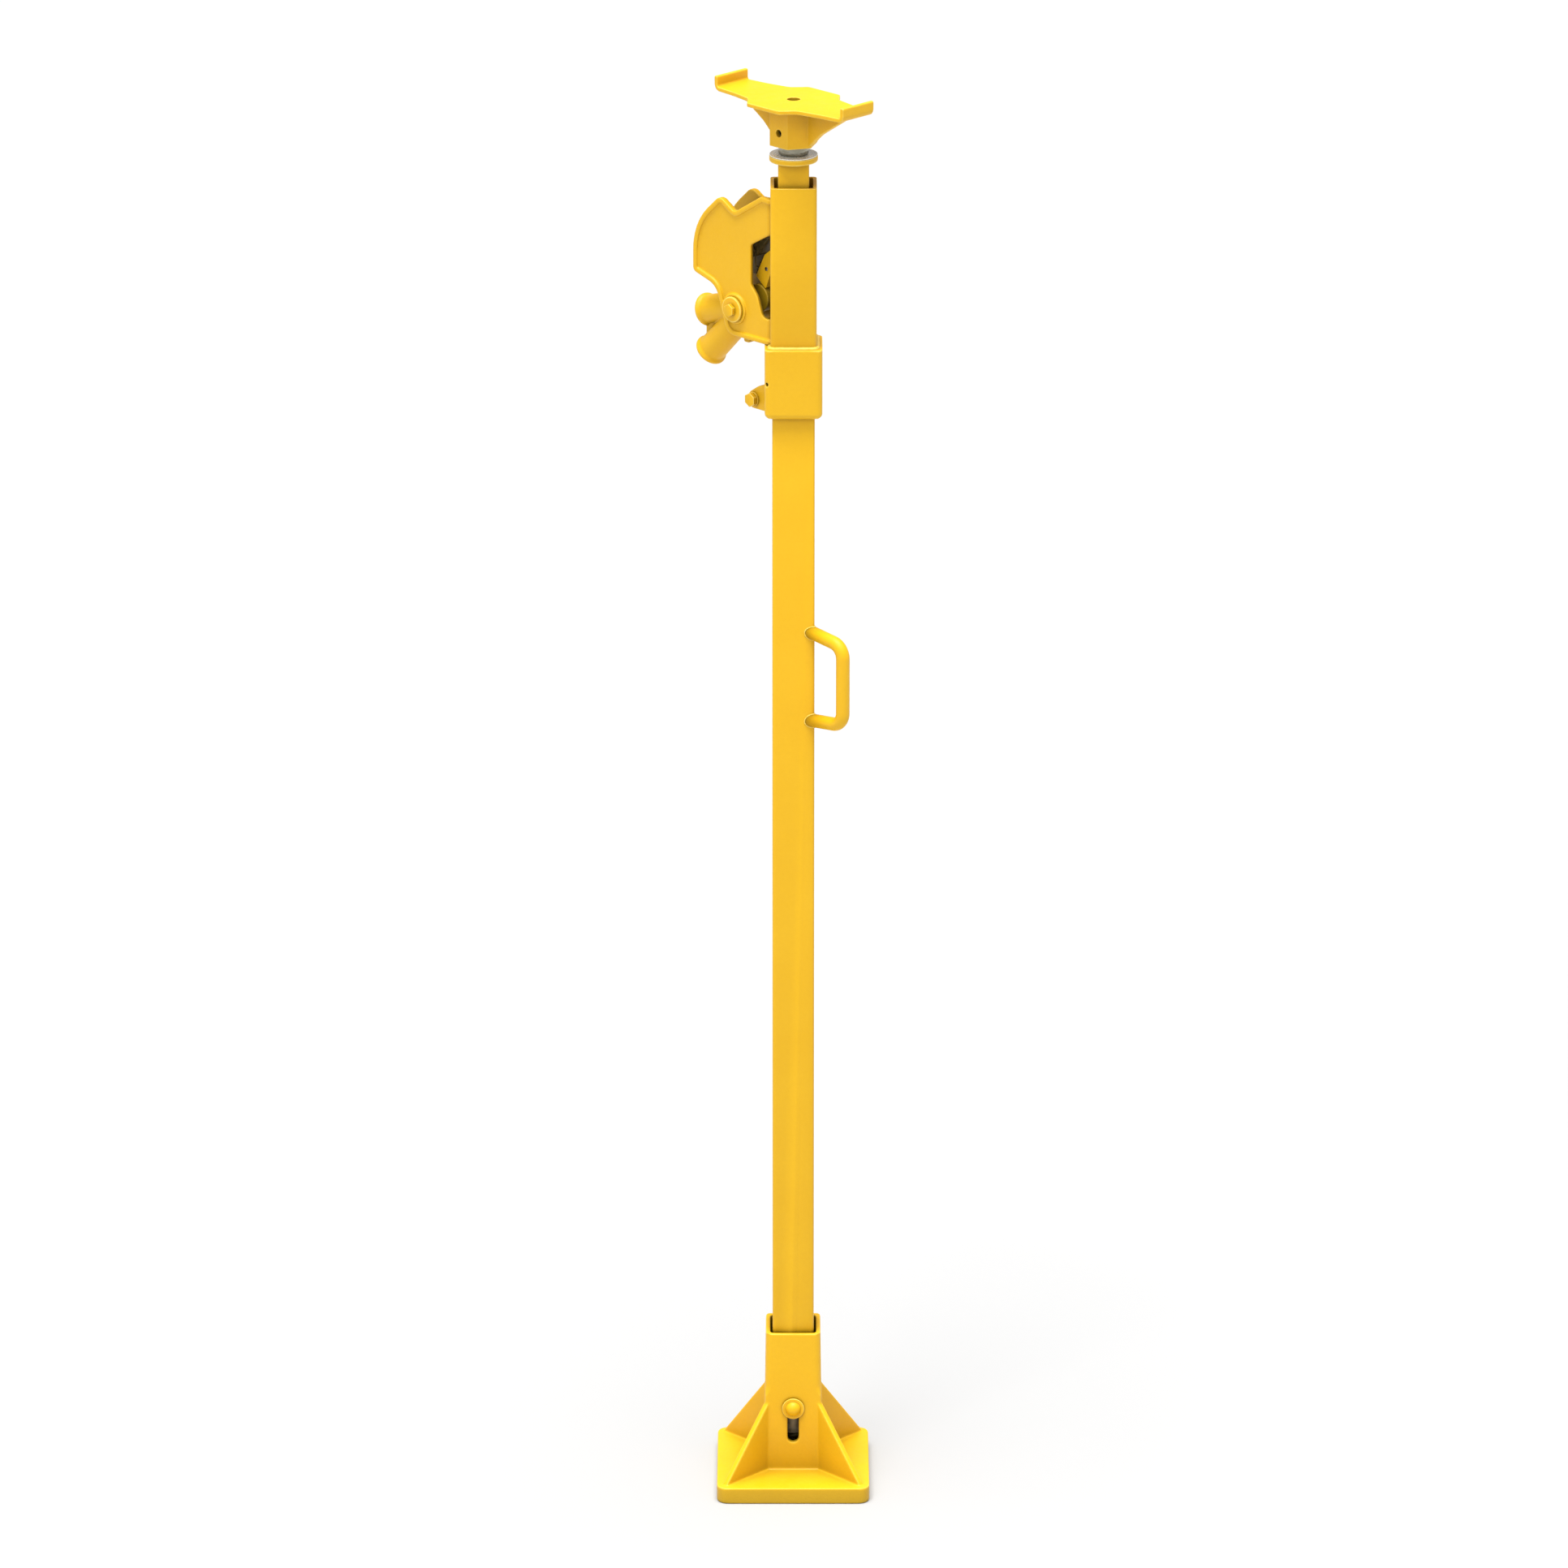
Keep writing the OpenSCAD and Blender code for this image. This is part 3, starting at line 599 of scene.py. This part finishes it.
def make_housing_welds(half, top):
    """A run of weld round the housing's foot, from one cheek to the other."""
    edge, corner, stop = half + 0.3 * MM, 6 * MM, 19 * MM
    points = [Vector((-edge, -stop, 0)), Vector((-edge, -edge, 0)), Vector((edge, -edge, 0))]
    points += [Vector((edge, edge, 0)), Vector((stop, edge, 0))]
    sunk = UP * (top - 0.6 * MM)
    path = [p + sunk for p in even_path(filleted(points, corner), 3 * MM)]
    rng = random.Random(11)
    thin, thick = 4.2 * MM, 4.6 * MM
    steady = thin
    ripple = []
    for _ in path:
        steady += 0.5 * (rng.uniform(thin, thick) - steady)
        ripple.append(steady)
    mesh = bmesh.new()
    tube(mesh, path, ripple, 10, reference=Vector((0.3, 0.5, 0.8)))
    piece("housing_welds", mesh, "post", "yellow_paint", CAST_PAINT)


def make_post_head():
    """The collar, the housing, the two cheeks and the lever with its pin."""
    leg_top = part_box("leg_tube")[1].z
    collar_half, collar_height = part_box("clamp_collar")[1].x, 108 * MM
    lower_edge = rounded_below(collar_half, leg_top - collar_height, 9 * MM)
    cast("clamp_collar", 1.1 * MM, 8, 0.25, shape=lower_edge)
    for node in ("collar_bolt", "collar_nut"):
        machined(node, 0.9 * MM)
    machined("collar_washers", 0.5 * MM)
    machined("housing_tube", 1.8 * MM, 4)
    housing_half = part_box("housing_tube")[1].x
    for node in ("near_cheek", "far_cheek"):
        cast(node, 0.75 * MM, 40, 0.2, CHEEK_PAINT, into_housing(housing_half, 4 * MM))
    make_housing_welds(housing_half, leg_top)
    machined("lever_pin", 0.6 * MM)
    machined("lever_pin_caps", 1.8 * MM, 5)
    machined("lever_pin_screws", 1.0 * MM)
    machined("lever_spacers", 0.6 * MM)
    cast("lever", 0.8 * MM, 4, 0.22, shape=clear_of("lever_pin", 0.4 * MM))


# ---------------------------------------------------------------- dogs

def at_dog_pin(along, up, across):
    """A point measured in mm from the middle of the holding dog's pin."""
    low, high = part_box("holding_dog_pin")
    return (low + high) / 2 + (OUT * along + UP * up + ACROSS * across) * MM


def dog_spring(node, first_leg, coil, last_leg):
    """A coil round the holding dog's pin, with a leg at one end or both, all in mm from it."""
    path = [at_dog_pin(*p) for p in first_leg + coil + last_leg]
    mesh = bmesh.new()
    tube(mesh, path, 1.25 * MM, 12, reference=OUT)
    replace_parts(piece(node + "_wire", mesh, "post", "dark_steel"), node)


def make_dogs():
    machined("lifting_dog", 1.4 * MM, 4, DOG_PAINT)
    machined("holding_dog", 1.0 * MM)
    for node in ("lifting_dog_jaw", "holding_dog_jaw"):
        machined(node, 0.4 * MM)
    for node in ("lifting_dog_dowel", "holding_dog_dowel", "holding_dog_pin"):
        machined(node, 0.5 * MM)
    dog_spring(
        "lifting_dog_spring",
        [(-9, -29, 7), (-8.9, -27, 11), (-8.7, -24, 15), (-8.5, -12, 16)],
        helix(8.3, 16, 26.5, 3.5, 180, 32), [],
    )
    dog_spring(
        "holding_dog_spring",
        [(17, -12, -23.7), (13, -2, -23.7)],
        helix(8.3, -23.7, -26.7, 1, 20, 32), [(6, 14, -26.9), (4, 24, -26.9)],
    )


# ---------------------------------------------------------------- ram and saddle

def make_ram():
    for node in ("lower_ram_guide", "upper_ram_guide", "ram_stop_ring"):
        machined(node, 0.4 * MM)
    machined("ram_tube", 0.8 * MM)
    machined("ram_flange", 1.8 * MM, 4)
    machined("thrust_washer", 0.3 * MM, 2, BRIGHT_STEEL)
    machined("spindle", 0.8 * MM)
    machined("spindle_bush", 0.4 * MM)
    machined("spindle_circlip", 0.2 * MM, 2)
    machined("head_roll_pin", 0.4 * MM)
    cast("head_saddle", 0.95 * MM, 5, 0.25)


make_camera()
make_stage()
for name, node in NODES.items():
    node.data.materials.clear()
    node.data.materials.append(MATERIALS[SLOT[name]])
make_foot()
make_leg()
make_post_head()
make_dogs()
make_ram()
